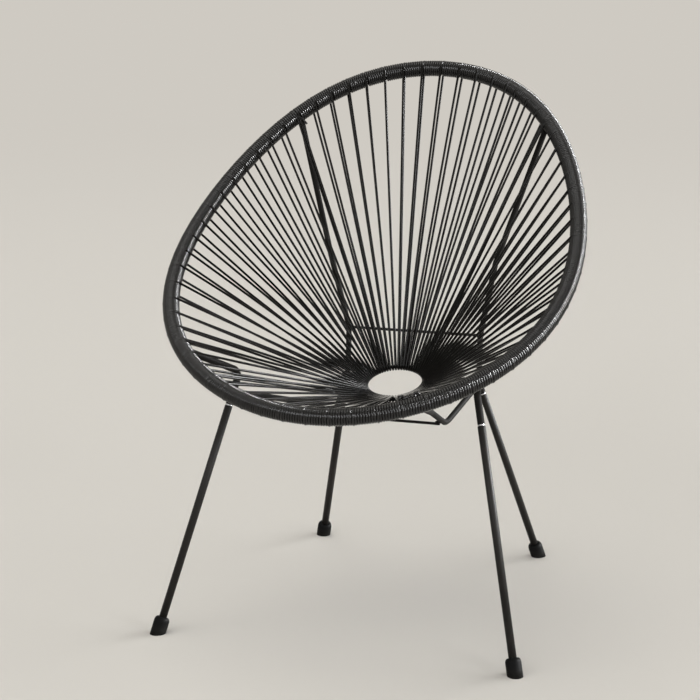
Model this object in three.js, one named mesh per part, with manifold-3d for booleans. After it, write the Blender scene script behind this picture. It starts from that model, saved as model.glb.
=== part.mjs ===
// Acapulco lounge chair: a cord-wrapped steel hoop, strung to a small ring, on a welded frame with
// screw-in legs.
// Millimetres, +Z up. The sitter faces -Y, and the origin is on the floor under the middle of the hoop.
import * as THREE from "three";
import { mergeVertices } from "three/addons/utils/BufferGeometryUtils.js";
import Module from "manifold-3d";

const manifold = await Module();
manifold.setup();

// Clearance between pieces that touch, and how far a cutting tool runs past what it cuts.
const fit = 0.3;
const overrun = 4;

// Hoop: a round steel tube bent into an egg outline, low in front and high behind.
const hoopTube = 20;
const hoopWidth = 669;
const hoopDepth = 690;
const hoopFrontHeight = 416.5;
const hoopSideHeight = 627;
const hoopBackHeight = 878;
// How much of the half width each further sine of the turn adds, which squares the shoulders.
const hoopOutlineShares = [1, -0.031, 0.008, 0.012];

// Cord: one run of PVC cord covers the hoop and, once in each bay, crosses to the ring and back.
const cord = 4.1;
const crossings = 65;
const crossingsPerRun = 5;
const ribDepth = 0.9;
const hoopSides = 8;
const cordSides = 5;
// Wound by hand, so the crossings are uneven: the number of a crossing, and its share of the hoop's length.
const crossingShares = [
  [0, 0.0042], [3, 0.0494], [4, 0.0633], [5, 0.0736], [11, 0.1592], [15, 0.2217], [16, 0.2394],
  [44, 0.6759], [46, 0.71], [56, 0.8673], [58, 0.8998], [60, 0.93], [crossings, 1.0042],
];
// One strand of a crossing comes back to the hoop's far side, unless it would pass a welded tube by less
// than this room.
const strandRoom = 3;

// Ring: a steel rod at the bottom of the seat, tipped forward with the cords that pull on it.
const ringRod = 6;
const ringDiameter = 107;
const ringBack = 84;
const ringHeight = 364;
const ringTilt = THREE.MathUtils.degToRad(18);
const ringSides = 8;
const ringSteps = 48;

// Side rails: from high on the hoop down behind the seat, round under the ring and forward to the hoop's
// front. Their corners are measured from the middle of the ring.
const railTube = 10;
const railTopTurn = THREE.MathUtils.degToRad(44.4);
const railFrontTurn = THREE.MathUtils.degToRad(154);
const railBend = 26;
const railLowBend = 48;
const railWaist = new THREE.Vector3(150, 103, 198);
const railSeat = new THREE.Vector3(121, 114, 66);
const railHeel = new THREE.Vector3(121, 106, -19);
const railLow = new THREE.Vector3(100, -32, -56.5);
const railToe = new THREE.Vector3(104, -134, -10);
const tubeSides = 10;
const bendSteps = 5;

// Two thin rods tie the rails together: one between them behind the seat, one under them below the ring.
const tieRod = 5;
const tieSides = 8;
const baseTieShare = 0.38;

// Legs: round bars with a threaded stud that screws into a socket, on a moulded foot.
// The rear collar is measured from the rail's heel.
const legBar = 13;
const studBar = 7;
const frontStud = 24;
const rearStud = 12;
const collarHeight = 2.4;
const collarBar = 12.4;
const legSides = 12;
const frontFoot = new THREE.Vector3(303, -264.5, 0);
const frontCollar = new THREE.Vector3(214.8, -147.5, 367.2);
const rearFoot = new THREE.Vector3(208.3, 296, 0);
const rearCollar = new THREE.Vector3(6.4, 1.9, -17);

// Front sockets rise from the collar and bend forward to the hoop; rear sockets stand under the rails'
// heels.
const socketTube = 12;
const frontSocketRise = 58;
const rearSocketRise = 20;
const socketBend = 15;
const frontSocketTurn = THREE.MathUtils.degToRad(133);

// Feet: moulded caps with a rounded shoulder, cut level with the floor.
const footBar = 25.6;
const footHeight = 28;
const footNeckBar = 17;
const footBandHeight = 20;
const footSocket = 17;
const footSoleShare = 0.8;
const footShoulderSteps = 3;
const footSides = 16;

const steel = new THREE.MeshStandardMaterial({ color: 0x1d1e20, roughness: 0.45, metalness: 0.3 });
const zinc = new THREE.MeshStandardMaterial({ color: 0xb9bcc0, roughness: 0.3, metalness: 1 });
const pvc = new THREE.MeshStandardMaterial({ color: 0x26282a, roughness: 0.38, metalness: 0 });
const rubber = new THREE.MeshStandardMaterial({ color: 0x101112, roughness: 0.75, metalness: 0 });

const frame = new THREE.Group();
const seat = new THREE.Group();
const chair = new THREE.Group();
chair.add(frame, seat);

// A point from the right side, or its mirror image on the left.
function sided(point, side) {
  return new THREE.Vector3(side * point.x, point.y, point.z);
}

// The hoop's centre line. A turn of zero is its top and half a turn its front, by way of the sitter's
// left, +X.
class HoopLine extends THREE.Curve {
  getPoint(share, target = new THREE.Vector3()) {
    return target.copy(this.atTurn(share * Math.PI * 2));
  }
  atTurn(turn) {
    const reach = hoopOutlineShares.reduce((sum, part, i) => sum + part * Math.sin((i + 1) * turn), 0);
    const slope = (hoopBackHeight - hoopFrontHeight) / 2;
    const sag = (hoopBackHeight + hoopFrontHeight) / 2 - hoopSideHeight;
    const height = hoopSideHeight + slope * Math.cos(turn) + sag * Math.cos(turn) ** 2;
    return new THREE.Vector3((reach * hoopWidth) / 2, (Math.cos(turn) * hoopDepth) / 2, height);
  }
}
const hoopLine = new HoopLine();
hoopLine.arcLengthDivisions = crossings * 16;

const ringCentre = new THREE.Vector3(0, ringBack, ringHeight);
const ringRear = new THREE.Vector3(0, Math.cos(ringTilt), Math.sin(ringTilt));
const across = new THREE.Vector3(1, 0, 0);
const upright = new THREE.Vector3(0, 1, 0);
const down = new THREE.Vector3(0, 0, -1);

// The way outwards in the ring's plane, for an angle that grows like the hoop's turn.
function ringOut(angle) {
  return across.clone().multiplyScalar(Math.sin(angle)).addScaledVector(ringRear, Math.cos(angle));
}

function ringPoint(angle) {
  return ringCentre.clone().addScaledVector(ringOut(angle), ringDiameter / 2);
}

// The hoop's centre, its tangent, the way in to the ring and the sitter's side, at a share of its length.
function hoopFrame(share) {
  const turns = share - Math.floor(share);
  const centre = hoopLine.getPointAt(turns);
  const tangent = hoopLine.getTangentAt(turns);
  const inward = ringCentre.clone().sub(centre);
  inward.addScaledVector(tangent, -inward.dot(tangent)).normalize();
  const top = new THREE.Vector3().crossVectors(inward, tangent).normalize();
  if (top.z < 0) top.negate();
  return { centre, tangent, inward, top };
}

// One ring of vertices round a centre, in the plane of two unit vectors.
function circle(centre, first, second, radius, sides) {
  return Array.from({ length: sides }, (_, i) => {
    const angle = ((i + 0.5) / sides) * Math.PI * 2;
    return centre
      .clone()
      .addScaledVector(first, radius * Math.cos(angle))
      .addScaledVector(second, radius * Math.sin(angle));
  });
}

// A closed surface through rings of vertices: the last joins the first, or both ends are capped.
function loft(rings, endless = false) {
  const sides = rings[0].length;
  const points = rings.flat();
  const faces = [];
  const last = endless ? rings.length : rings.length - 1;
  for (let r = 0; r < last; r++) {
    for (let i = 0; i < sides; i++) {
      const next = (i + 1) % sides;
      const here = r * sides;
      const there = ((r + 1) % rings.length) * sides;
      faces.push(here + i, here + next, there + next, here + i, there + next, there + i);
    }
  }
  if (!endless) {
    const end = (rings.length - 1) * sides;
    for (let i = 1; i < sides - 1; i++) {
      faces.push(0, i + 1, i, end, end + i, end + i + 1);
    }
  }
  const geometry = new THREE.BufferGeometry().setFromPoints(points);
  geometry.setIndex(faces);
  return geometry;
}

// Geometry to a solid and back, for the few pieces that are joined or cut.
function toSolid(geometry) {
  const bare = geometry.clone();
  bare.deleteAttribute("normal");
  bare.deleteAttribute("uv");
  const merged = mergeVertices(bare);
  const vertProperties = new Float32Array(merged.attributes.position.array);
  const triVerts = new Uint32Array(merged.index.array);
  const solid = new manifold.Manifold(new manifold.Mesh({ numProp: 3, vertProperties, triVerts }));
  if (solid.volume() > 0) return solid;
  for (let i = 0; i < triVerts.length; i += 3) {
    [triVerts[i + 1], triVerts[i + 2]] = [triVerts[i + 2], triVerts[i + 1]];
  }
  return new manifold.Manifold(new manifold.Mesh({ numProp: 3, vertProperties, triVerts }));
}

function toGeometry(solid) {
  const mesh = solid.getMesh();
  const geometry = new THREE.BufferGeometry();
  geometry.setAttribute("position", new THREE.BufferAttribute(mesh.vertProperties, 3));
  geometry.setIndex(new THREE.BufferAttribute(mesh.triVerts, 1));
  return geometry;
}

function add(group, name, solid, material) {
  const geometry = toGeometry(solid).toNonIndexed();
  geometry.computeVertexNormals();
  const mesh = new THREE.Mesh(geometry, material);
  mesh.name = name;
  group.add(mesh);
  return mesh;
}

// A round bar along a list of points, with frames carried along so that it does not twist.
function bar(points, diameter, sides) {
  const ways = points.map((point, i) => {
    const before = points[Math.max(i - 1, 0)];
    const after = points[Math.min(i + 1, points.length - 1)];
    return after.clone().sub(before).normalize();
  });
  const aside = Math.abs(ways[0].x) > Math.abs(ways[0].z) ? down : across;
  let first = new THREE.Vector3().crossVectors(ways[0], aside).normalize();
  const rings = points.map((point, i) => {
    first = first.clone().addScaledVector(ways[i], -first.dot(ways[i])).normalize();
    const second = new THREE.Vector3().crossVectors(ways[i], first);
    return circle(point, first, second, diameter / 2, sides);
  });
  return toSolid(loft(rings));
}

// Points along straight runs whose corners are rounded as a tube bender leaves them.
function bent(corners, radii) {
  const points = [corners[0]];
  for (let i = 1; i < corners.length - 1; i++) {
    const radius = radii[i - 1];
    const back = corners[i - 1].clone().sub(corners[i]).normalize();
    const on = corners[i + 1].clone().sub(corners[i]).normalize();
    const half = back.angleTo(on) / 2;
    const start = corners[i].clone().addScaledVector(back, radius / Math.tan(half));
    const end = corners[i].clone().addScaledVector(on, radius / Math.tan(half));
    const middle = back.clone().add(on).normalize().multiplyScalar(radius / Math.sin(half)).add(corners[i]);
    const from = start.clone().sub(middle);
    const axis = new THREE.Vector3().crossVectors(from, end.clone().sub(middle)).normalize();
    const sweep = Math.PI - 2 * half;
    for (let k = 0; k <= bendSteps; k++) {
      points.push(from.clone().applyAxisAngle(axis, (sweep * k) / bendSteps).add(middle));
    }
  }
  points.push(corners[corners.length - 1]);
  return points;
}

// A turned piece upright on +Y, from a profile of radius and height, and a plain round pin.
function turned(profile, sides) {
  return new THREE.LatheGeometry(profile.map(([radius, height]) => new THREE.Vector2(radius, height)), sides);
}

function pin(length, diameter, sides) {
  return turned([[0, 0], [diameter / 2, 0], [diameter / 2, length], [0, length]], sides);
}

// A pin laid from a point along a given way.
function rod(start, way, length, diameter, sides) {
  const geometry = pin(length, diameter, sides);
  geometry.applyQuaternion(new THREE.Quaternion().setFromUnitVectors(upright, way));
  geometry.translate(start.x, start.y, start.z);
  return toSolid(geometry);
}

// The room that a leg's stud needs in its socket.
function studRoom(joint, way, stud) {
  const start = joint.clone().addScaledVector(way, -overrun);
  return rod(start, way, stud + overrun + fit, studBar + 2 * fit, legSides);
}

// Where a crossing leaves the hoop, as a share of its length. Counts past the last go round again.
function crossingShare(number) {
  const laps = Math.floor(number / crossings);
  const rest = number - laps * crossings;
  const next = crossingShares.findIndex(([mark]) => mark > rest);
  const [from, start] = crossingShares[next - 1];
  const [to, end] = crossingShares[next];
  return laps + start + ((end - start) * (rest - from)) / (to - from);
}

// The bare hoop, in straight steps from bay to bay so that the wrapping's bore follows it.
function hoopSolid(diameter) {
  const rings = Array.from({ length: crossings }, (_, i) => {
    const { centre, inward, top } = hoopFrame(crossingShare(i - 0.5));
    return circle(centre, inward, top, diameter / 2, hoopSides);
  });
  return toSolid(loft(rings, true));
}

// The close turns round the hoop, as a sleeve with a bore and one rib in each bay, for one run of bays.
function wrapping(first) {
  const wound = hoopTube / 2 + fit + cord;
  const bore = hoopTube / 2 + fit;
  const halfGap = fit / 2 / hoopLine.getLength();
  const shareOf = (step, steps) => {
    const share = crossingShare(first - 0.5 + (crossingsPerRun * step) / steps);
    return share + (step === 0 ? halfGap : step === steps ? -halfGap : 0);
  };
  const ringOf = (share, radius) => {
    const { centre, inward, top } = hoopFrame(share);
    return circle(centre, inward, top, radius, hoopSides);
  };
  const halves = crossingsPerRun * 2;
  const outer = Array.from({ length: halves + 1 }, (_, i) =>
    ringOf(shareOf(i, halves), i % 2 ? wound : wound - ribDepth));
  const inner = Array.from({ length: crossingsPerRun + 1 }, (_, i) =>
    ringOf(shareOf(i, crossingsPerRun), bore));
  return toSolid(loft([...outer, ...inner.reverse()], true));
}

// Whether a straight strand keeps its room to every welded tube, given as a centre line and a diameter.
function passesTubes(strand, tubes) {
  return tubes.every(({ path, diameter }) => {
    const least = strandRoom + (diameter + cord) / 2;
    const stretches = path.slice(1).map((point, i) => new THREE.Line3(path[i], point));
    return stretches.every((stretch) => strand.distanceSqToLine3(stretch) > least ** 2);
  });
}

// One crossing: a strand from the sitter's side of the hoop over the ring's rod, a hairpin round the rod,
// and a strand from under it back to the hoop's far side, or beside the first where a tube is in the way.
function crossing(number, tubes) {
  const share = crossingShare(number);
  const angle = (number / crossings + crossingShare(0)) * Math.PI * 2;
  const out = ringOut(angle);
  const hub = ringPoint(angle);
  const ringAxis = new THREE.Vector3().crossVectors(across, ringRear);
  const way = hoopFrame(share).centre.sub(hub);
  const along = out.clone().multiplyScalar(way.dot(out)).addScaledVector(ringAxis, way.dot(ringAxis));
  along.normalize();
  const over = ringAxis.clone().addScaledVector(along, -ringAxis.dot(along)).normalize();
  const lift = (ringRod / 2 + fit + cord / 2) / Math.cos(Math.PI / 6);
  const seatRadius = hoopTube / 2 + fit + cord / 2;
  const root = (offset, side) => {
    const { centre, top } = hoopFrame(share - offset / hoopLine.getLength());
    return centre.clone().addScaledVector(top, side * seatRadius);
  };
  const round = (turn) =>
    hub.clone().addScaledVector(over, lift * Math.cos(turn)).addScaledVector(along, -lift * Math.sin(turn));
  const hairpin = [1, 3, 5].map((sixth) => round((Math.PI * sixth) / 6));
  const far = root(cord / 2, -1);
  const last = passesTubes(new THREE.Line3(hub, far), tubes) ? far : root(cord + fit, 1);
  return bar([root(0, 1), ...hairpin, last], cord, cordSides);
}

// The centre line of a side rail, from the hoop's centre round to the hoop's centre again.
function railPath(side) {
  const inner = [railWaist, railSeat, railHeel, railLow, railToe];
  const corners = inner.map((corner) => corner.clone().add(ringCentre));
  const ends = [hoopLine.atTurn(railTopTurn), hoopLine.atTurn(railFrontTurn)];
  const route = [ends[0], ...corners, ends[1]].map((corner) => sided(corner, side));
  return bent(route, [railBend, railBend, railBend, railLowBend, railBend]);
}

// The centre line of a front socket, from its collar up and forward to the hoop.
function socketPath(collar, rise, side) {
  const bottom = collar.clone().addScaledVector(rise, collarHeight / 2);
  const bend = collar.clone().addScaledVector(rise, frontSocketRise);
  const hoop = sided(hoopLine.atTurn(frontSocketTurn), side);
  return bent([bottom, bend, hoop], [socketBend]);
}

// The tool that opens the wrapping where a tube passes through it to the hoop.
function passage(path, diameter) {
  const end = path[path.length - 1];
  const way = path[path.length - 2].clone().sub(end).normalize();
  return rod(end, way, hoopTube + 2 * cord, diameter + 2 * fit, legSides);
}

// A leg with its stud, the collar under its socket and its foot: upright on +Y in a group that leans as
// the leg does.
function addLeg(end, label, bottom, joint, stud) {
  const group = new THREE.Group();
  group.position.copy(bottom);
  group.quaternion.setFromUnitVectors(upright, joint.clone().sub(bottom).normalize());
  chair.add(group);

  const low = footHeight - footSocket;
  const shoulder = joint.distanceTo(bottom) - collarHeight / 2 - fit;
  const tip = joint.distanceTo(bottom) + stud;
  const outline = [
    [0, low], [legBar / 2, low], [legBar / 2, shoulder],
    [studBar / 2, shoulder], [studBar / 2, tip], [0, tip],
  ];
  add(group, `${end}_leg_${label}`, toSolid(turned(outline, legSides)), steel);

  const hole = pin(collarHeight + 2 * overrun, studBar + 2 * fit, legSides).translate(0, -overrun, 0);
  const washer = toSolid(pin(collarHeight - fit, collarBar, legSides)).subtract(toSolid(hole));
  add(group, `${end}_collar_${label}`, washer, zinc).position.y = shoulder + fit;

  const wide = footBar / 2;
  const neck = footNeckBar / 2;
  const rounded = Array.from({ length: footShoulderSteps + 1 }, (_, i) => {
    const angle = ((i / footShoulderSteps) * Math.PI) / 2;
    const height = footBandHeight + (footHeight - footBandHeight) * Math.sin(angle);
    return [neck + (wide - neck) * Math.cos(angle), height];
  });
  const barrel = [[0, -wide], [wide * footSoleShare, -wide], [wide, 0], ...rounded, [0, footHeight]];
  const cap = turned(barrel, footSides);
  const pocket = pin(footHeight, legBar + 2 * fit, legSides).translate(0, low - fit, 0);
  const floor = new THREE.BoxGeometry(4 * footBar, 4 * footBar, 2 * footBar).translate(0, 0, -footBar);
  floor.applyQuaternion(group.quaternion.clone().invert());
  const foot = toSolid(cap).subtract(toSolid(pocket)).subtract(toSolid(floor));
  add(group, `${end}_foot_${label}`, foot, rubber);
}

add(frame, "hoop_tube", hoopSolid(hoopTube), steel);

const hoopRoom = hoopSolid(hoopTube + 2 * fit);

const ringRings = Array.from({ length: ringSteps }, (_, i) => {
  const angle = (i / ringSteps) * Math.PI * 2;
  const ringAxis = new THREE.Vector3().crossVectors(across, ringRear);
  return circle(ringPoint(angle), ringOut(angle), ringAxis, ringRod / 2, ringSides);
});
add(frame, "centre_ring", toSolid(loft(ringRings, true)), steel);

const tubes = [];
const passages = [];
for (const [label, side] of [["left", 1], ["right", -1]]) {
  // Side rail with both ends coped to the hoop, and the openings that they need in the wrapping.
  const rail = railPath(side);
  tubes.push({ path: rail, diameter: railTube });
  passages.push(passage(rail, railTube), passage([...rail].reverse(), railTube));
  add(frame, `side_rail_${label}`, bar(rail, railTube, tubeSides).subtract(hoopRoom), steel);

  // Front socket tube, bored for the leg's stud and coped to the hoop.
  const frontBottom = sided(frontFoot, side);
  const frontJoint = sided(frontCollar, side);
  const frontRise = frontJoint.clone().sub(frontBottom).normalize();
  const path = socketPath(frontJoint, frontRise, side);
  const frontBore = studRoom(frontJoint, frontRise, frontStud);
  tubes.push({ path, diameter: socketTube });
  passages.push(passage(path, socketTube));
  const frontTube = bar(path, socketTube, legSides).subtract(frontBore).subtract(hoopRoom);
  add(frame, `front_socket_${label}`, frontTube, steel);
  addLeg("front", label, frontBottom, frontJoint, frontStud);

  // Rear socket, on the leg's line with its top coped to the rail's heel.
  const rearBottom = sided(rearFoot, side);
  const rearJoint = sided(ringCentre.clone().add(railHeel).add(rearCollar), side);
  const rearRise = rearJoint.clone().sub(rearBottom).normalize();
  const rearStart = rearJoint.clone().addScaledVector(rearRise, collarHeight / 2);
  const rearTube = rod(rearStart, rearRise, rearSocketRise - collarHeight / 2, socketTube, legSides);
  const cope = bar(rail, railTube + 2 * fit, tubeSides);
  const pieces = rearTube.subtract(studRoom(rearJoint, rearRise, rearStud)).subtract(cope).decompose();
  pieces.sort((a, b) => b.volume() - a.volume());
  add(frame, `rear_socket_${label}`, pieces[0], steel);
  addLeg("rear", label, rearBottom, rearJoint, rearStud);
}

// The tie rod behind the seat stops short of the rails that it is welded between.
const backPlace = ringCentre.clone().add(railSeat);
const backReach = backPlace.x - railTube / 2 - fit;
const backStart = new THREE.Vector3(-backReach, backPlace.y, backPlace.z);
add(frame, "back_tie_rod", rod(backStart, across, 2 * backReach, tieRod, tieSides), steel);

// The tie rod below the ring lies under the rails' front arms and ends flush with their middles.
const arm = railToe.clone().sub(railLow);
const underArm = new THREE.Vector3().crossVectors(across, arm).normalize();
const basePlace = ringCentre.clone().add(railLow).addScaledVector(arm, baseTieShare);
const baseStart = basePlace.clone().addScaledVector(underArm, (railTube + tieRod) / 2 + fit);
baseStart.x = -basePlace.x;
add(frame, "base_tie_rod", rod(baseStart, across, 2 * basePlace.x, tieRod, tieSides), steel);

// The lacing, in runs of a few bays: wrapping, crossings and the openings for the welded tubes.
for (let run = 0; run < crossings / crossingsPerRun; run++) {
  const first = run * crossingsPerRun;
  let lacing = wrapping(first);
  for (const tool of passages) lacing = lacing.subtract(tool);
  for (let number = first; number < first + crossingsPerRun; number++) {
    lacing = lacing.add(crossing(number, tubes));
  }
  add(seat, `lacing_${String(run + 1).padStart(2, "0")}`, lacing, pvc);
}

export default chair;
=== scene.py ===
import math

import bmesh
import bpy
from mathutils import Matrix, Quaternion, Vector


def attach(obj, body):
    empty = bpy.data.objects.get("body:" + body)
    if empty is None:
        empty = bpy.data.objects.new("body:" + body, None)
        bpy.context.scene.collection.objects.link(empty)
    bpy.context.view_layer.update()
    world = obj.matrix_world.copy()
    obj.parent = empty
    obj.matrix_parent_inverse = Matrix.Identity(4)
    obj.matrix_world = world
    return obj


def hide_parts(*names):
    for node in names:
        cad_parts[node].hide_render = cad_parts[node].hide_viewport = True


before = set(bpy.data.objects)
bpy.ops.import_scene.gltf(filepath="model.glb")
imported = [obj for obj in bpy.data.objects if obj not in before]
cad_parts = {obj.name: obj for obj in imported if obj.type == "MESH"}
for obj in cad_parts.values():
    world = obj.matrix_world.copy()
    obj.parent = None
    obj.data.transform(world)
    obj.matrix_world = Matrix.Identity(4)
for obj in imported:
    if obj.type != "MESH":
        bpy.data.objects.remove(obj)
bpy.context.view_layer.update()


# Camera: a long lens at standing height, a little to the chair's right, that looks down on the seat.
# Its place and its three directions were fitted to the hoop, the ring, the legs and the feet.
CAMERA_PLACE = Vector((0.99535, -3.12299, 1.22686))
CAMERA_RIGHT = Vector((0.94854, 0.31655, -0.00753))
CAMERA_FORWARD = Vector((-0.30951, 0.92189, -0.23305))
CAMERA_LENS = 103.42
CAMERA_REACH = 200

camera = bpy.data.objects.new("camera", bpy.data.cameras.new("camera"))
camera_up = CAMERA_RIGHT.cross(CAMERA_FORWARD)
camera.matrix_world = Matrix((CAMERA_RIGHT, camera_up, -CAMERA_FORWARD)).transposed().to_4x4()
camera.location = CAMERA_PLACE
camera.data.lens = CAMERA_LENS
camera.data.clip_end = CAMERA_REACH
bpy.context.scene.collection.objects.link(camera)
bpy.context.scene.camera = camera
bpy.context.scene.view_settings.view_transform = "Standard"


# Studio: a wide pale floor that fades into a pale surround, under a broad soft light from above. Two low
# lights stand to the right, another behind them edges the legs, and a row of small ones in front draws
# bright lines on the turns of cord. A narrow light from the right only makes glossy things gleam.
FLOOR_REACH = 60
FLOOR_CLEAR = 0.9
FLOOR_FADE = 6
FLOOR_COLOUR = SURROUND_COLOUR = (0.62, 0.59, 0.54, 1)
FLOOR_ROUGHNESS, FLOOR_GLOSS = 0.9, 0.1
FILL_COLOUR = (0.93, 0.94, 0.96, 1)
FILL_STRENGTH = 0.2
WARM, COOL, WHITE = (1, 0.99, 0.95), (0.97, 0.98, 1), (1, 1, 1)
# Where each light comes from, how wide it looks in degrees, its strength and its colour.
LIGHTS = (
    ((-0.2, 0.05, 0.95), 40, 1.1, WARM),
    ((0.95, 0.25, 0.15), 25, 2.2, COOL),
    ((0.90, -0.42, 0.15), 25, 1.9, COOL),
    ((0.70, 0.70, 0.13), 28, 3.2, (0.98, 0.99, 1)),
)
GLEAM = ((0.82, 0.38, 0.42), 14, 7.0, WHITE)
# The row in front: the bearing of each light from straight ahead, and what they share.
ROW_BEARINGS = (-48, -31, -14, 3, 20)
ROW_HEIGHT, ROW_WIDTH, ROW_STRENGTH = 0.44, 10, 0.32


class Wire:
    """An output of a node. Sums on it add Math nodes, or Vector Math nodes where a side is a vector."""

    def __init__(self, tree, socket):
        self.tree = tree
        self.socket = socket

    def maths(self, operation, *others, vector=None, output=0):
        sides = (self, *others)
        if vector is None:
            vector = any(is_vector(side) for side in sides)
        kind = "ShaderNodeVectorMath" if vector else "ShaderNodeMath"
        return node(self.tree, kind, {"operation": operation}, dict(enumerate(sides)), output)

    def __add__(self, other):
        return self.maths("ADD", other)

    def __radd__(self, other):
        return self.maths("ADD", other)

    def __sub__(self, other):
        return self.maths("SUBTRACT", other)

    def __rsub__(self, other):
        return value(self.tree, other).maths("SUBTRACT", self)

    def __mul__(self, other):
        return self.maths("MULTIPLY", other)

    def __rmul__(self, other):
        return self.maths("MULTIPLY", other)

    def __truediv__(self, other):
        return self.maths("DIVIDE", other)

    def dot(self, other):
        return self.maths("DOT_PRODUCT", other, vector=True, output="Value")

    def cross(self, other):
        return self.maths("CROSS_PRODUCT", other)

    def unit(self):
        return self.maths("NORMALIZE", vector=True)

    def clamped(self, low, high):
        return self.maths("MAXIMUM", low).maths("MINIMUM", high)

    def beside(self, name):
        """Another output of the same node."""
        return Wire(self.tree, self.socket.node.outputs[name])

    def mixed(self, first, second):
        """A colour between two others, by this socket from 0 to 1."""
        return node(self.tree, "ShaderNodeMix", {"data_type": "RGBA"}, {0: self, 6: first, 7: second}, 2)


def is_vector(side):
    return isinstance(side, tuple) or isinstance(side, Wire) and side.socket.type == "VECTOR"


def node(tree, kind, settings=None, sockets=None, output=0):
    """Adds a node: its settings first, then a value or a wire for each named or numbered socket."""
    made = tree.nodes.new(kind)
    for name, setting in (settings or {}).items():
        setattr(made, name, setting)
    for name, given in (sockets or {}).items():
        socket = made.inputs[name]
        if isinstance(given, Wire):
            tree.links.new(given.socket, socket)
        elif socket.type == "VECTOR" and not isinstance(given, (tuple, Vector)):
            socket.default_value = (given, given, given)
        else:
            socket.default_value = given
    return Wire(tree, made.outputs[output]) if len(made.outputs) else made


def value(tree, number):
    if isinstance(number, (tuple, Vector)):
        return node(tree, "ShaderNodeCombineXYZ", {}, dict(enumerate(number)))
    return node(tree, "ShaderNodeMath", {"operation": "ADD"}, {0: number, 1: 0.0})


def seen_directly(tree):
    """One for what the camera sees, also in a mirror or glass, and zero for what lights the chair."""
    seen = camera_ray = node(tree, "ShaderNodeLightPath", {}, {}, "Is Camera Ray")
    for name in ("Is Transmission Ray", "Is Glossy Ray"):
        seen = seen.maths("MAXIMUM", camera_ray.beside(name))
    return seen


world = bpy.data.worlds.new("surround")
world.use_nodes = True
world.node_tree.nodes.clear()
fill = node(world.node_tree, "ShaderNodeBackground", {}, {"Color": FILL_COLOUR, "Strength": FILL_STRENGTH})
shown = node(world.node_tree, "ShaderNodeBackground", {}, {"Color": SURROUND_COLOUR, "Strength": 1.0})
sky = {0: seen_directly(world.node_tree), 1: fill, 2: shown}
both = node(world.node_tree, "ShaderNodeMixShader", {}, sky)
node(world.node_tree, "ShaderNodeOutputWorld", {}, {"Surface": both})
bpy.context.scene.world = world


def add_light(source, width, strength, colour):
    """A soft light from far away, from the side that the source gives."""
    lamp = bpy.data.lights.new("studio_light", "SUN")
    lamp.angle = math.radians(width)
    lamp.energy = strength
    lamp.color = colour
    holder = bpy.data.objects.new("studio_light", lamp)
    holder.rotation_euler = Vector(source).to_track_quat("Z", "Y").to_euler()
    bpy.context.scene.collection.objects.link(holder)
    return holder


for light in LIGHTS:
    add_light(*light)
for bearing in (math.radians(degrees) for degrees in ROW_BEARINGS):
    source = (math.sin(bearing), -math.cos(bearing), ROW_HEIGHT)
    add_light(source, ROW_WIDTH, ROW_STRENGTH, COOL)
add_light(*GLEAM).visible_diffuse = False

floor_mesh = bpy.data.meshes.new("floor")
corners = [(x * FLOOR_REACH, y * FLOOR_REACH, 0) for x, y in ((-1, -1), (1, -1), (1, 1), (-1, 1))]
floor_mesh.from_pydata(corners, [], [(0, 1, 2, 3)])
floor = bpy.data.objects.new("floor", floor_mesh)
bpy.context.scene.collection.objects.link(floor)
material = bpy.data.materials.new("pale_floor")
material.use_nodes = True
floor_tree = material.node_tree
shader = floor_tree.nodes["Principled BSDF"]
shader.inputs["Base Color"].default_value = FLOOR_COLOUR
shader.inputs["Roughness"].default_value = FLOOR_ROUGHNESS
shader.inputs["Specular IOR Level"].default_value = FLOOR_GLOSS
spot = node(floor_tree, "ShaderNodeTexCoord", {}, {}, "Object")
from_middle = spot.maths("LENGTH", vector=True, output="Value")
ramp = ((from_middle - FLOOR_CLEAR) / FLOOR_FADE).clamped(0.0, 1.0)
faded = ramp * ramp * (3 - 2 * ramp) * seen_directly(floor_tree)
glow = node(floor_tree, "ShaderNodeEmission", {}, {"Color": SURROUND_COLOUR, "Strength": 1.0})
lit = Wire(floor_tree, shader.outputs["BSDF"])
ground = node(floor_tree, "ShaderNodeMixShader", {}, {0: faded, 1: lit, 2: glow})
floor_tree.links.new(ground.socket, floor_tree.nodes["Material Output"].inputs["Surface"])
floor_mesh.materials.append(material)


# Hoop: a 20 mm steel tube bent to an egg outline, low in front and high behind, and welded shut.
# The cord hides all of it. Its centre line also places the cord and the rails' ends.
MM = 0.001
HOOP_TUBE = 20 * MM
HOOP_WIDTH = 669 * MM
HOOP_DEPTH = 690 * MM
HOOP_FRONT, HOOP_SIDE, HOOP_BACK = 416.5 * MM, 627 * MM, 878 * MM
HOOP_SHARES = (1, -0.031, 0.008, 0.012)
STEEL_BLACK = (0.007, 0.0063, 0.0056, 1)
STEEL_WORN = (0.030, 0.026, 0.022, 1)
# The frame shows only a quarter of the rubbed grey that the legs show, so its coat stays darker: painted
# shade for the frame under the seat.
FRAME_WEAR_AND_SHADE, FRAME_ROUGHNESS, FRAME_GLOSS = 0.25, 0.58, 0.08
RUBBED_SPOT, PEEL_SPOT, GRAIN_SPOT = 45 * MM, 1.1 * MM, 0.35 * MM
PEEL_DEPTH = 0.05 * MM


def hoop_point(turn):
    """The hoop's centre line: a turn of zero is its top and half a turn its front, by way of +X."""
    reach = sum(share * math.sin((i + 1) * turn) for i, share in enumerate(HOOP_SHARES))
    slope = (HOOP_BACK - HOOP_FRONT) / 2
    sag = (HOOP_BACK + HOOP_FRONT) / 2 - HOOP_SIDE
    height = HOOP_SIDE + slope * math.cos(turn) + sag * math.cos(turn) ** 2
    return Vector((reach * HOOP_WIDTH / 2, math.cos(turn) * HOOP_DEPTH / 2, height))


def surface(name):
    """A new material, its node tree, its shader and its Object coordinates."""
    material = bpy.data.materials.new(name)
    material.use_nodes = True
    tree = material.node_tree
    place = node(tree, "ShaderNodeTexCoord", {}, {}, "Object")
    return material, tree, tree.nodes["Principled BSDF"], place


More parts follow.
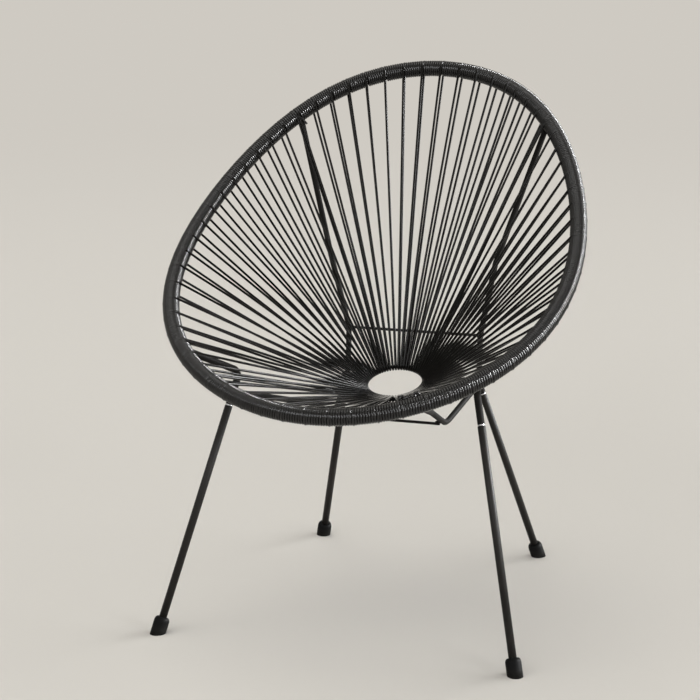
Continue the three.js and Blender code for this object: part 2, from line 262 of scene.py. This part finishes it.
def noise(place, size, detail=2.0, roughness=0.5):
    """Noise from 0 to 1 whose spots are about this big."""
    settings = {"Vector": place, "Scale": 1 / size, "Detail": detail, "Roughness": roughness}
    return node(place.tree, "ShaderNodeTexNoise", {}, settings)


def dress(shader, tree, colour=None, roughness=None, height=None, depth=0.0):
    """Wires what varies over a surface into its shader, with the height as a bump of a real depth."""
    if colour is not None:
        tree.links.new(colour.socket, shader.inputs["Base Color"])
    if roughness is not None:
        tree.links.new(roughness.socket, shader.inputs["Roughness"])
    if height is not None:
        bump = node(tree, "ShaderNodeBump", {}, {"Height": height, "Distance": depth, "Strength": 1.0})
        tree.links.new(bump.socket, shader.inputs["Normal"])


def powder_coat(name, wear_and_shade, rough, gloss):
    """Black powder coat: a fine orange-peel surface, a little greyer where it has been rubbed."""
    material, tree, shader, place = surface(name)
    # A wear share below one keeps the coat darker than its wear alone: painted shade.
    rubbed = noise(place, RUBBED_SPOT, 4.0, 0.6).maths("POWER", 2.4)
    peel = noise(place, PEEL_SPOT, 1.0)
    grain = noise(place, GRAIN_SPOT, 0.0)
    dress(
        shader, tree,
        colour=(rubbed * wear_and_shade).mixed(STEEL_BLACK, STEEL_WORN),
        roughness=rough + rubbed * 0.14 + grain * 0.06,
        height=peel * 0.8 + grain * 0.2,
        depth=PEEL_DEPTH,
    )
    shader.inputs["Specular IOR Level"].default_value = gloss
    return material


# The frame's coat: matt, and darker than the legs' coat by painted shade.
shade_darkened_coat = powder_coat("matt_powder_coat_painted_shade", FRAME_WEAR_AND_SHADE, FRAME_ROUGHNESS, FRAME_GLOSS)
for slot_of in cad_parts["hoop_tube"].material_slots:
    slot_of.material = shade_darkened_coat


# Ring: a 6 mm steel rod bent to a circle and welded, which hangs in the strings under the seat.
# It tips with the cords that pull on it, so its back edge stands higher.
RING_ROD = 6 * MM
RING_DIAMETER = 107 * MM
RING_CENTRE = Vector((0, 84, 364)) * MM
RING_TILT = math.radians(18)
RING_REAR = Vector((0, math.cos(RING_TILT), math.sin(RING_TILT)))
RING_AXIS = Vector((1, 0, 0)).cross(RING_REAR)
RING_STEPS = 96


def finished(name, mesh, material, slot, *nodes):
    """Links a finished mesh as a piece that rides on the chair and stands for some of the solids."""
    piece = bpy.data.objects.new(name, mesh)
    mesh.name = name
    if not mesh.materials:
        mesh.materials.append(material)
    mesh.shade_smooth()
    bpy.context.scene.collection.objects.link(piece)
    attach(piece, "root")
    if nodes:
        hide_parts(*nodes)
    return piece


def swept(name, paths, diameter, sides, closed=False):
    """A round bar along each path, with closed ends, as one mesh."""
    line = bpy.data.curves.new(name, "CURVE")
    line.dimensions = "3D"
    line.bevel_depth = diameter / 2
    line.bevel_resolution = sides // 2 - 2
    line.use_fill_caps = True
    for path in paths:
        spline = line.splines.new("POLY")
        spline.points.add(len(path) - 1)
        for point, place in zip(spline.points, path):
            point.co = (*place, 1)
        spline.use_cyclic_u = closed
    holder = bpy.data.objects.new(name, line)
    bpy.context.scene.collection.objects.link(holder)
    ready = holder.evaluated_get(bpy.context.evaluated_depsgraph_get())
    mesh = bpy.data.meshes.new_from_object(ready)
    bpy.data.objects.remove(holder)
    return mesh


ring_path = [
    RING_CENTRE + (Vector((1, 0, 0)) * math.sin(a) + RING_REAR * math.cos(a)) * RING_DIAMETER / 2
    for a in (math.tau * i / RING_STEPS for i in range(RING_STEPS))
]
ring = swept("ring_rod", [ring_path], RING_ROD, sides=14, closed=True)
finished("ring_rod", ring, shade_darkened_coat, "frame_steel", "centre_ring")


# Wrapping: one long run of 4 mm PVC cord is wound round the hoop by hand, turn against turn, six to ten
# turns between two crossings, which lie unevenly. The cord is near black and glossy, as extruded.
CORD = 4.1 * MM
CROSSINGS = 65
# The number of a crossing and its share of the hoop's length. Between two of these the places are even.
CROSSING_SHARES = (
    (0, 0.0042), (3, 0.0494), (4, 0.0633), (5, 0.0736), (11, 0.1592), (15, 0.2217), (16, 0.2394),
    (44, 0.6759), (46, 0.71), (56, 0.8673), (58, 0.8998), (60, 0.93), (CROSSINGS, 1.0042),
)
# Beside a welded tube both strands of a crossing stay on the sitter's side.
CROSSINGS_BY_TUBES = (8, 28, 38, 41, 57)
WRAP_STEPS = 168
HOOP_STEPS, LENGTH_STEPS = 720, 2000
WOUND_DARK, WOUND_PALE = (0.006, 0.0058, 0.0055, 1), (0.014, 0.0135, 0.013, 1)
WOUND_GLOSS = 0.36
DULL_SPOT, SCUFF_SPOT, SCUFF_DEPTH = 60 * MM, 4.5 * MM, 0.02 * MM
WOUND_SIDES = 8


def pvc(name, dark, pale, gloss):
    """Near-black PVC with a clear gloss, faint scuffs and draw marks, and a little dust in places."""
    material, tree, shader, place = surface(name)
    dull = noise(place, DULL_SPOT, 3.0, 0.6)
    scuff = noise(place, SCUFF_SPOT, 3.0, 0.7)
    dress(
        shader, tree,
        colour=(dull * 0.55 + scuff * 0.45).mixed(dark, pale),
        roughness=0.11 + scuff * 0.07 + dull * 0.06,
        height=scuff,
        depth=SCUFF_DEPTH,
    )
    shader.inputs["Specular IOR Level"].default_value = gloss
    return material


cord_finish = pvc("wound_cord", WOUND_DARK, WOUND_PALE, WOUND_GLOSS)


def grown(name, sizes, material, build, wound=None):
    """A plain mesh that Geometry Nodes grow from the hoop's centre line, with a named input for each size.

    Faces that lie on the hoop take the second material, where one is given.
    """
    line = bpy.data.meshes.new(name)
    points = [hoop_point(math.tau * i / HOOP_STEPS) for i in range(HOOP_STEPS)]
    line.from_pydata(points, [(i, (i + 1) % HOOP_STEPS) for i in range(HOOP_STEPS)], [])
    tree = bpy.data.node_groups.new(name, "GeometryNodeTree")
    tree.interface.new_socket("Geometry", in_out="INPUT", socket_type="NodeSocketGeometry")
    tree.interface.new_socket("Geometry", in_out="OUTPUT", socket_type="NodeSocketGeometry")
    kinds = {int: "NodeSocketInt", float: "NodeSocketFloat", Vector: "NodeSocketVector"}
    for label, size in sizes.items():
        tree.interface.new_socket(label, in_out="INPUT", socket_type=kinds[type(size)])
    entry = node(tree, "NodeGroupInput")
    given = {label: entry.beside(label) for label in ("Geometry", *sizes)}
    shape = build(tree, given)
    whole = node(tree, "GeometryNodeRealizeInstances", {}, {"Geometry": shape})
    done = node(tree, "GeometryNodeSetMaterial", {}, {"Geometry": whole, "Material": material})
    if wound:
        edges = {"target_element": "EDGES"}
        gap = node(tree, "GeometryNodeProximity", edges, {0: given["Geometry"]}, "Distance")
        near = gap.maths("LESS_THAN", HOOP_TUBE)
        picked = {"Geometry": done, "Selection": near, "Material": wound}
        done = node(tree, "GeometryNodeSetMaterial", {}, picked)
    node(tree, "NodeGroupOutput", {}, {"Geometry": done})
    holder = bpy.data.objects.new(name, line)
    maker = holder.modifiers.new(name, "NODES")
    maker.node_group = tree
    for item in tree.interface.items_tree:
        if item.name in sizes:
            size = sizes[item.name]
            maker[item.identifier] = list(size) if isinstance(size, Vector) else size
    bpy.context.scene.collection.objects.link(holder)
    ready = holder.evaluated_get(bpy.context.evaluated_depsgraph_get())
    mesh = bpy.data.meshes.new_from_object(ready)
    holder.modifiers.remove(maker)
    bpy.data.objects.remove(holder)
    return mesh


def crossing_share(number):
    """Where a crossing leaves the hoop, as a share of its length."""
    share = CROSSING_SHARES[0][1]
    for (low, start), (high, end) in zip(CROSSING_SHARES, CROSSING_SHARES[1:]):
        passed = (number - float(low)).clamped(0.0, float(high - low))
        share = share + passed * ((end - start) / (high - low))
    return share


def chosen(number, choices):
    """One where a number is among the choices, and zero elsewhere."""
    return sum((number - float(choice)).maths("ABSOLUTE").maths("LESS_THAN", 0.5) for choice in choices)


def on_hoop(given, share):
    """The hoop's centre, its tangent, the way to the ring and the sitter's side, at a share of its run."""
    tree = share.tree
    line = node(tree, "GeometryNodeMeshToCurve", {}, {"Mesh": given["Geometry"]})
    sockets = {"Curves": line, "Factor": share.maths("FRACT")}
    centre = node(tree, "GeometryNodeSampleCurve", {"mode": "FACTOR"}, sockets, "Position")
    along = centre.beside("Tangent")
    to_ring = given["Ring centre"] - centre
    inward = (to_ring - along * to_ring.dot(along)).unit()
    return centre, along, inward, inward.cross(along).unit()


def as_cord(points, group, thickness, sides):
    """Points in their order become a cord: joined into lines by group and given a round section."""
    tree = points.tree
    lines = node(tree, "GeometryNodePointsToCurves", {}, {0: points, "Curve Group ID": group})
    round_section = {"Resolution": sides, "Radius": thickness / 2}
    section = node(tree, "GeometryNodeCurvePrimitiveCircle", {}, round_section)
    sweep = {"Curve": lines, "Profile Curve": section, "Fill Caps": True}
    return node(tree, "GeometryNodeCurveToMesh", {}, sweep)


def build_wrapping(tree, given):
    steps = given["Steps"]
    index = node(tree, "GeometryNodeInputIndex")
    bay = (index / steps).maths("FLOOR")
    part = (index - bay * steps) / (steps - 1.0)
    start, end = crossing_share(bay), crossing_share(bay + 1.0)
    whole = ((end - start) * given["Hoop length"] / given["Cord"]).maths("ROUND")
    # The last half turn is the trip to the ring, from the far side.
    turns = (whole - 0.5) * part
    centre, along, inward, top = on_hoop(given, start + (end - start) * turns / whole)
    angle = turns * math.tau
    around = top * angle.maths("COSINE") - inward * angle.maths("SINE")
    place = centre + around * (given["Hoop tube"] / 2 + given["Cord"] / 2)
    points = node(tree, "GeometryNodePoints", {}, {"Count": steps * given["Crossings"], "Position": place})
    return as_cord(points, bay, given["Cord"], WOUND_SIDES)


places = [hoop_point(math.tau * i / LENGTH_STEPS) for i in range(LENGTH_STEPS + 1)]
hoop_length = sum((after - before).length for before, after in zip(places, places[1:]))
wrapping = grown(
    "hoop_wrapping",
    {
        "Crossings": CROSSINGS,
        "Steps": WRAP_STEPS,
        "Hoop length": hoop_length,
        "Hoop tube": HOOP_TUBE,
        "Cord": CORD,
        "Ring centre": RING_CENTRE,
    },
    cord_finish,
    build_wrapping,
)
finished("hoop_wrapping", wrapping, cord_finish, "pvc_cord")


# Seat strings: at each crossing the cord leaves the far side of the hoop, runs straight to the ring, goes
# round its rod from below in a tight hairpin, and runs back over the sitter's side of the hoop. Its colour
# is a darker copy of the wound cord's: painted shade on the strings.
# The strings' colours are the wound cord's made darker, as painted shade.
STRING_SHADED_DARK, STRING_SHADED_PALE = (0.003, 0.0027, 0.0023, 1), (0.008, 0.0075, 0.0065, 1)
STRING_GLOSS = 0.13
STRING_SIDES = 12
ARC_STEPS = 6
BEND_STEPS = 5
ROOT_RISE = 0.8 * MM
ROOT_LEAN = 1.2 * MM
ROOT_ANGLE = math.radians(110)
SIDE_GAP = 0.3 * MM


def build_strings(tree, given):
    arc, bend = given["Arc steps"], given["Bend steps"]
    half = arc + bend + 1
    each = half * 2 + 1
    index = node(tree, "GeometryNodeInputIndex")
    number = (index / each).maths("FLOOR")
    step = index - number * each - half
    side = step.maths("SIGN")
    away = step.maths("ABSOLUTE")
    back = step.maths("LESS_THAN", -0.5)
    by_tube = chosen(number, CROSSINGS_BY_TUBES)
    far = back * (1 - by_tube)

    ring_angle = (number / given["Crossings"] + CROSSING_SHARES[0][1]) * math.tau
    left = value(tree, (1.0, 0.0, 0.0))
    out = given["Ring rear"] * ring_angle.maths("COSINE") + left * ring_angle.maths("SINE")
    hub = given["Ring centre"] + out * (given["Ring"] / 2)
    axis = given["Ring axis"]

    lean = (away - bend - 1).maths("MAXIMUM", 0.0) / arc * given["Root angle"]
    lag = back * (far * given["Cord"] / 2 + by_tube * (given["Cord"] + given["Side gap"]))
    slide = side * (lean / math.tau * given["Cord"] + lean / given["Root angle"] * given["Root lean"]) - lag
    centre, along, inward, top = on_hoop(given, crossing_share(number))
    foot = centre + along * slide
    seat = (given["Hoop tube"] + given["Cord"]) / 2 + (1 - lean / given["Root angle"]) * given["Root rise"]
    on_tube = foot + (top * (1 - far * 2) * lean.maths("COSINE") - inward * lean.maths("SINE")) * seat

    way = foot - hub
    flat = out * way.dot(out) + axis * way.dot(axis)
    run = flat.unit()
    over = (axis - run * axis.dot(run)).unit()
    turned = (1 - (away / bend).maths("MINIMUM", 1.0) * side) * (math.pi / 2)
    lift = given["Ring rod"] / 2 + given["Cord"] / 2
    on_ring = hub + (over * turned.maths("COSINE") - run * turned.maths("SINE")) * lift

    at_ring = away.maths("LESS_THAN", bend + 0.5)
    place = on_tube + (on_ring - on_tube) * at_ring
    points = node(tree, "GeometryNodePoints", {}, {"Count": each * given["Crossings"], "Position": place})
    return as_cord(points, number, given["Cord"], STRING_SIDES)


shaded_string_finish = pvc("shaded_stretched_cord", STRING_SHADED_DARK, STRING_SHADED_PALE, STRING_GLOSS)
strings = grown(
    "seat_strings",
    {
        "Crossings": CROSSINGS,
        "Hoop tube": HOOP_TUBE,
        "Ring": RING_DIAMETER,
        "Ring rod": RING_ROD,
        "Ring centre": RING_CENTRE,
        "Ring rear": RING_REAR,
        "Ring axis": RING_AXIS,
        "Cord": CORD,
        "Side gap": SIDE_GAP,
        "Root rise": ROOT_RISE,
        "Root lean": ROOT_LEAN,
        "Root angle": ROOT_ANGLE,
        "Arc steps": ARC_STEPS,
        "Bend steps": BEND_STEPS,
    },
    shaded_string_finish,
    build_strings,
    wound=cord_finish,
)
lacing = [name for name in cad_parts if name.startswith("lacing_")]
finished("seat_strings", strings, shaded_string_finish, "pvc_cord", *lacing)


# Cord ends: where the long cord starts and stops it is knotted to itself on the inner side of the hoop,
# in front, and its other end is tucked in beside the rail at the top, as a short stub.
KNOT_SIZE = 2.4 * MM
KNOT_DEPTH = 2.6 * MM
KNOT_ANGLE = 0.6
KNOT_TURNS = (2.724, 2.675)
KNOT_STEPS, KNOT_OPEN, KNOT_FLATNESS = 60, 0.22, 0.8
TAIL_TURN, TAIL_ANGLE, TAIL_STEPS = 2.60, 0.85, 4
STUB_TURN = -0.79
STUB_RISE = 6 * MM
STUB_REACH = 16 * MM
CORD_END = 3.8 * MM
SMALL_TURN = 0.001


def hoop_frame(turn):
    """The hoop's centre, its tangent, the way in to the ring and the sitter's side, at a turn."""
    centre = hoop_point(turn)
    along = (hoop_point(turn + SMALL_TURN) - hoop_point(turn - SMALL_TURN)).normalized()
    inward = RING_CENTRE - centre
    inward = (inward - along * inward.dot(along)).normalized()
    top = inward.cross(along).normalized()
    return centre, along, inward, top if top.z > 0 else -top


def beside_hoop(turn, angle, rise):
    """A point over the wrapped hoop: an angle of zero is the sitter's side, a quarter turn the inner."""
    centre, along, inward, top = hoop_frame(turn)
    reach = HOOP_TUBE / 2 + CORD * 1.5 + rise
    return centre + (top * math.cos(angle) + inward * math.sin(angle)) * reach


def knot_path(turn, flip):
    """One overhand knot: a cord that passes three times over and under itself."""
    centre, along, inward, top = hoop_frame(turn)
    middle = beside_hoop(turn, KNOT_ANGLE, KNOT_DEPTH * 0.4)
    up = (middle - centre).normalized()
    across = up.cross(along).normalized()
    path = []
    for i in range(KNOT_STEPS + 1):
        t = KNOT_OPEN + (math.tau - 2 * KNOT_OPEN) * i / KNOT_STEPS
        x = (math.sin(t) + 2 * math.sin(2 * t)) * KNOT_SIZE * flip
        y = (math.cos(t) - 2 * math.cos(2 * t)) * KNOT_SIZE * KNOT_FLATNESS
        path.append(middle + along * x + across * y - up * math.sin(3 * t) * KNOT_DEPTH)
    return path


def smooth(places, steps=8):
    """A curve through the places."""
    ends = [places[0] * 2 - places[1], *places, places[-1] * 2 - places[-2]]
    path = []
    for a, b, c, d in zip(ends, ends[1:], ends[2:], ends[3:]):
        for i in range(steps):
            t = i / steps
            bow = (a * 2 - b * 5 + c * 4 - d) * t**2 + (b * 3 - a - c * 3 + d) * t**3
            path.append((b * 2 + (c - a) * t + bow) / 2)
    return path + [places[-1]]


knots = [knot_path(turn, flip) for turn, flip in zip(KNOT_TURNS, (1, -1))]
tail_step = (TAIL_TURN - KNOT_TURNS[1]) / TAIL_STEPS
tail = smooth([beside_hoop(KNOT_TURNS[1] + tail_step * i, TAIL_ANGLE, 0) for i in range(TAIL_STEPS + 1)])
centre, along, inward, top = hoop_frame(STUB_TURN)
stub_start = centre + top * STUB_RISE + inward * (HOOP_TUBE - CORD) / 2
stub = [stub_start, stub_start + inward * STUB_REACH]
cord_ends = swept("cord_ends", [*knots, tail, stub], CORD_END, WOUND_SIDES)
finished("cord_ends", cord_ends, cord_finish, "pvc_cord")


# Side rails: 10 mm steel bar from high on the hoop, down behind the seat, under the ring and forward to
# the hoop's front. They are bent cold round a former and their ends are coped and welded to the hoop.
RAIL = 10 * MM
RAIL_BEND, RAIL_LOW_BEND = 26 * MM, 48 * MM
RAIL_TOP_TURN = math.radians(44.4)
RAIL_FRONT_TURN = math.radians(154)
RAIL_WAIST = RING_CENTRE + Vector((150, 103, 198)) * MM
RAIL_SEAT = RING_CENTRE + Vector((121, 114, 66)) * MM
RAIL_HEEL = RING_CENTRE + Vector((121, 106, -19)) * MM
RAIL_LOW = RING_CENTRE + Vector((100, -32, -56.5)) * MM
RAIL_TOE = RING_CENTRE + Vector((104, -134, -10)) * MM
SIDES = {"left": 1, "right": -1}


def sided(point, side):
    return Vector((side * point.x, point.y, point.z))


def bent(corners, radii, steps=12):
    """Points along straight runs whose corners are rounded as a tube bender leaves them."""
    points = [corners[0]]
    for before, corner, after, radius in zip(corners, corners[1:], corners[2:], radii):
        back, on = (before - corner).normalized(), (after - corner).normalized()
        half = back.angle(on) / 2
        middle = corner + (back + on).normalized() * radius / math.sin(half)
        spoke = corner + back * radius / math.tan(half) - middle
        axis = spoke.cross(corner + on * radius / math.tan(half) - middle).normalized()
        sweep = math.pi - 2 * half
        points += [middle + Quaternion(axis, sweep * k / steps) @ spoke for k in range(steps + 1)]
    return points + [corners[-1]]


def rail_path(side):
    inner = [RAIL_WAIST, RAIL_SEAT, RAIL_HEEL, RAIL_LOW, RAIL_TOE]
    corners = [hoop_point(RAIL_TOP_TURN), *inner, hoop_point(RAIL_FRONT_TURN)]
    radii = [RAIL_BEND, RAIL_BEND, RAIL_BEND, RAIL_LOW_BEND, RAIL_BEND]
    return bent([sided(corner, side) for corner in corners], radii)


for label, side in SIDES.items():
    mesh = swept(f"rail_{label}", [rail_path(side)], RAIL, sides=20)
    finished(f"side_rail_{label}_bar", mesh, shade_darkened_coat, "frame_steel", f"side_rail_{label}")


# Tie rods: two 5 mm rods that tie the rails together. One is welded between them behind the seat, the
# other lies under their front arms below the ring and is tacked to both with a small bead.
TIE_ROD = 5 * MM
BASE_TIE_SHARE = 0.38
FIT = 0.3 * MM
BEAD_REACH, BEAD_RISE, BEAD_SINK = 3.2 * MM, 2.6 * MM, 0.5 * MM
BEAD_STEPS = 6
TACK_LENGTH, TACK_BAR, TACK_INSET = 9 * MM, 4.4 * MM, 3 * MM
TACK_DROPS, DROP_STEPS = 5, 4
TACK_TIP, TACK_RIPPLE = 0.08, 0.10


def turned(name, profile, start, way, sides=32):
    """A turned piece on a line from a start, from pairs of radius and height."""
    mesh = bmesh.new()
    turn = Vector((0, 0, 1)).rotation_difference(way)
    rings = []
    for radius, height in profile:
        if radius == 0:
            rings.append([mesh.verts.new(start + turn @ Vector((0, 0, height)))])
            continue
        angles = [math.tau * i / sides for i in range(sides)]
        spots = [Vector((radius * math.cos(a), radius * math.sin(a), height)) for a in angles]
        rings.append([mesh.verts.new(start + turn @ spot) for spot in spots])
    for low, high in zip(rings, rings[1:]):
        for i in range(sides):
            near, far = i, (i + 1) % sides
            if len(low) == 1:
                mesh.faces.new((low[0], high[far], high[near]))
            elif len(high) == 1:
                mesh.faces.new((low[near], low[far], high[0]))
            else:
                mesh.faces.new((low[near], low[far], high[far], high[near]))
    bmesh.ops.recalc_face_normals(mesh, faces=mesh.faces)
    made = bpy.data.meshes.new(name)
    mesh.to_mesh(made)
    mesh.free()
    return made


def bead(inner, start, way):
    """A weld fillet round a bar of this radius, where it meets another piece."""
    angles = [math.pi / 2 * i / BEAD_STEPS for i in range(BEAD_STEPS + 1)]
    curve = [(inner + BEAD_REACH * (1 - math.sin(a)), BEAD_RISE * (1 - math.cos(a))) for a in angles]
    profile = [(0, -BEAD_RISE), (inner + BEAD_REACH, -BEAD_RISE), *curve, (0, BEAD_RISE)]
    return turned("bead", profile, start, way, sides=24)


def tack(middle, way):
    """A short weld run along a line between two bars, drawn out in overlapping drops."""
    profile = [(0, -TACK_LENGTH / 2)]
    steps = TACK_DROPS * DROP_STEPS
    for part in (i / steps for i in range(steps + 1)):
        swell = math.sqrt(math.sin(math.pi * (TACK_TIP + (1 - 2 * TACK_TIP) * part)))
        ripple = 1 + TACK_RIPPLE * math.cos(math.tau * part * TACK_DROPS)
        profile.append((TACK_BAR / 2 * swell * ripple, TACK_LENGTH * (part - 1 / 2)))
    profile.append((0, TACK_LENGTH / 2))
    return turned("tack", profile, middle, way, sides=16)


def joined(name, parts):
    """Several meshes as one."""
    whole = bmesh.new()
    for part in parts:
        whole.from_mesh(part)
    made = bpy.data.meshes.new(name)
    whole.to_mesh(made)
    whole.free()
    return made


ends = [sided(RAIL_SEAT, side) for side in (-1, 1)]
parts = [swept("back_tie", [ends], TIE_ROD, sides=16)]
for end, way in zip(ends, (Vector((1, 0, 0)), Vector((-1, 0, 0)))):
    parts.append(bead(TIE_ROD / 2, end + way * (RAIL / 2 - BEAD_SINK), way))
finished("back_tie_rod_bar", joined("back_tie", parts), shade_darkened_coat, "frame_steel", "back_tie_rod")

arm = RAIL_TOE - RAIL_LOW
under_arm = Vector((1, 0, 0)).cross(arm).normalized()
welded = RAIL_LOW + arm * BASE_TIE_SHARE
place = welded + under_arm * ((RAIL + TIE_ROD) / 2 + FIT)
ends = [Vector((side * welded.x, place.y, place.z)) for side in (-1, 1)]
parts = [swept("base_tie", [ends], TIE_ROD, sides=16)]
for side in (-1, 1):
    for slant in (-1, 1):
        spot = place - under_arm * TIE_ROD * 0.55 + arm.normalized() * slant * TIE_ROD * 0.45
        parts.append(tack(Vector((side * (welded.x - TACK_INSET), spot.y, spot.z)), Vector((1, 0, 0))))
finished("base_tie_rod_bar", joined("base_tie", parts), shade_darkened_coat, "frame_steel", "base_tie_rod")


# Sockets: short 12 mm tubes tapped for the legs. The front pair bends forward and is welded to the hoop;
# the rear pair is shaped to the rails' heels and welded under them.
SOCKET = 12 * MM
FRONT_RISE, REAR_RISE = 58 * MM, 20 * MM
SOCKET_BEND = 15 * MM
FRONT_SOCKET_TURN = math.radians(133)
COLLAR_HEIGHT = 2.4 * MM
HEEL_WELD_DROP, HEEL_WELD_BITE = 4.5 * MM, 0.6 * MM
FRONT_FOOT = Vector((303, -264.5, 0)) * MM
FRONT_COLLAR = Vector((214.8, -147.5, 367.2)) * MM
REAR_FOOT = Vector((208.3, 296, 0)) * MM
REAR_COLLAR = RAIL_HEEL + Vector((6.4, 1.9, -17)) * MM

for label, side in SIDES.items():
    collar, foot = sided(FRONT_COLLAR, side), sided(FRONT_FOOT, side)
    rise = (collar - foot).normalized()
    hoop = sided(hoop_point(FRONT_SOCKET_TURN), side)
    corners = [collar + rise * COLLAR_HEIGHT / 2, collar + rise * FRONT_RISE, hoop]
    mesh = swept("socket", [bent(corners, [SOCKET_BEND])], SOCKET, sides=24)
    finished(f"front_socket_{label}_tube", mesh, shade_darkened_coat, "frame_steel", f"front_socket_{label}")

    collar, foot = sided(REAR_COLLAR, side), sided(REAR_FOOT, side)
    rise = (collar - foot).normalized()
    line = [collar + rise * COLLAR_HEIGHT / 2, collar + rise * REAR_RISE]
    tube = swept("socket", [line], SOCKET, sides=24)
    weld = bead(SOCKET / 2 - HEEL_WELD_BITE, collar + rise * (REAR_RISE - HEEL_WELD_DROP), -rise)
    mesh = joined("rear_socket", [tube, weld])
    finished(f"rear_socket_{label}_tube", mesh, shade_darkened_coat, "frame_steel", f"rear_socket_{label}")


# Legs: four 13 mm bars, splayed, each with a turned stud that screws into its socket. Between the two
# sits a bright zinc washer, and a moulded plastic foot is pressed on the lower end.
LEG, LEG_EDGE = 13 * MM, 0.8 * MM
COLLAR, COLLAR_EDGE = 12.4 * MM, 0.5 * MM
FOOT, FOOT_NECK = 25.6 * MM, 17 * MM
FOOT_BAND, FOOT_HEIGHT = 20 * MM, 28 * MM
FOOT_TAPER, FOOT_GLOSS = 0.97, 0.05
SHOULDER_STEPS = 8
ZINC = (0.66, 0.66, 0.67, 1)
ZINC_DULL = (0.42, 0.42, 0.43, 1)
ZINC_SPOT = 4 * MM
FOOT_BLACK = (0.004, 0.004, 0.004, 1)
FOOT_DUSTY = (0.018, 0.017, 0.015, 1)
DUST_HEIGHT, DUST_SPOT = 20 * MM, 6 * MM
MOULD_SPOT, MOULD_DEPTH = 0.6 * MM, 0.05 * MM
LEG_WEAR, LEG_ROUGHNESS, LEG_GLOSS = 1.0, 0.42, 0.17


def zinc_plate():
    """Bright zinc on a pressed washer, duller in patches."""
    material, tree, shader, place = surface("zinc_plate")
    patch = noise(place, ZINC_SPOT, 3.0)
    dress(shader, tree, colour=patch.mixed(ZINC, ZINC_DULL), roughness=0.18 + patch * 0.2)
    shader.inputs["Metallic"].default_value = 1.0
    return material


def foot_plastic():
    """Moulded black plastic, dusty towards the floor, with the faint grain of its mould."""
    material, tree, shader, place = surface("foot_plastic")
    height = node(tree, "ShaderNodeSeparateXYZ", {}, {0: place}, 2)
    dust = (1 - height / DUST_HEIGHT).maths("MAXIMUM", 0.0) * noise(place, DUST_SPOT, 3.0)
    grain = noise(place, MOULD_SPOT, 2.0)
    dress(
        shader, tree,
        colour=dust.mixed(FOOT_BLACK, FOOT_DUSTY),
        roughness=0.50 + dust * 0.3 + grain * 0.08,
        height=grain,
        depth=MOULD_DEPTH,
    )
    shader.inputs["Specular IOR Level"].default_value = FOOT_GLOSS
    return material


zinc, plastic = zinc_plate(), foot_plastic()
leg_coat = powder_coat("satin_powder_coat", LEG_WEAR, LEG_ROUGHNESS, LEG_GLOSS)


def foot_mesh(bottom, way):
    """A barrel cap on the leg's line, cut level with the floor."""
    band, top = FOOT / 2, FOOT_NECK / 2
    profile = [(0, -FOOT), (band * FOOT_TAPER, -FOOT), (band, FOOT_BAND * 0.4)]
    for angle in (math.pi / 2 * i / SHOULDER_STEPS for i in range(SHOULDER_STEPS + 1)):
        height = FOOT_BAND + (FOOT_HEIGHT - FOOT_BAND) * math.sin(angle)
        profile.append((top + (band - top) * math.cos(angle), height))
    profile.append((0, FOOT_HEIGHT))
    cut = bmesh.new()
    cut.from_mesh(turned("foot", profile, bottom, way, sides=48))
    parts = cut.verts[:] + cut.edges[:] + cut.faces[:]
    bmesh.ops.bisect_plane(cut, geom=parts, plane_co=(0, 0, 0), plane_no=(0, 0, -1), clear_outer=True)
    open_edges = [edge for edge in cut.edges if edge.is_boundary]
    bmesh.ops.contextual_create(cut, geom=open_edges)
    bmesh.ops.recalc_face_normals(cut, faces=cut.faces)
    made = bpy.data.meshes.new("foot")
    cut.to_mesh(made)
    cut.free()
    return made


for end, foot, collar in (("front", FRONT_FOOT, FRONT_COLLAR), ("rear", REAR_FOOT, REAR_COLLAR)):
    for label, side in SIDES.items():
        bottom, joint = sided(foot, side), sided(collar, side)
        rise = (joint - bottom).normalized()
        start = bottom + rise * FOOT_HEIGHT / 2
        length = (joint - start).length - COLLAR_HEIGHT / 2
        radius = LEG / 2
        bevel = [(radius, length - LEG_EDGE), (radius - LEG_EDGE, length)]
        leg = turned("leg", [(0, 0), (radius, 0), *bevel, (0, length)], start, rise, sides=28)
        finished(f"{end}_leg_{label}_bar", leg, leg_coat, "frame_steel", f"{end}_leg_{label}")

        rim, low = COLLAR / 2, joint - rise * COLLAR_HEIGHT / 2
        profile = [
            (0, 0), (rim - COLLAR_EDGE, 0), (rim, COLLAR_EDGE),
            (rim, COLLAR_HEIGHT - COLLAR_EDGE), (rim - COLLAR_EDGE, COLLAR_HEIGHT), (0, COLLAR_HEIGHT),
        ]
        washer = turned("washer", profile, low, rise, sides=32)
        finished(f"{end}_collar_{label}_washer", washer, zinc, "zinc", f"{end}_collar_{label}")
        cap = foot_mesh(bottom, rise)
        finished(f"{end}_foot_{label}_cap", cap, plastic, "foot_plastic", f"{end}_foot_{label}")
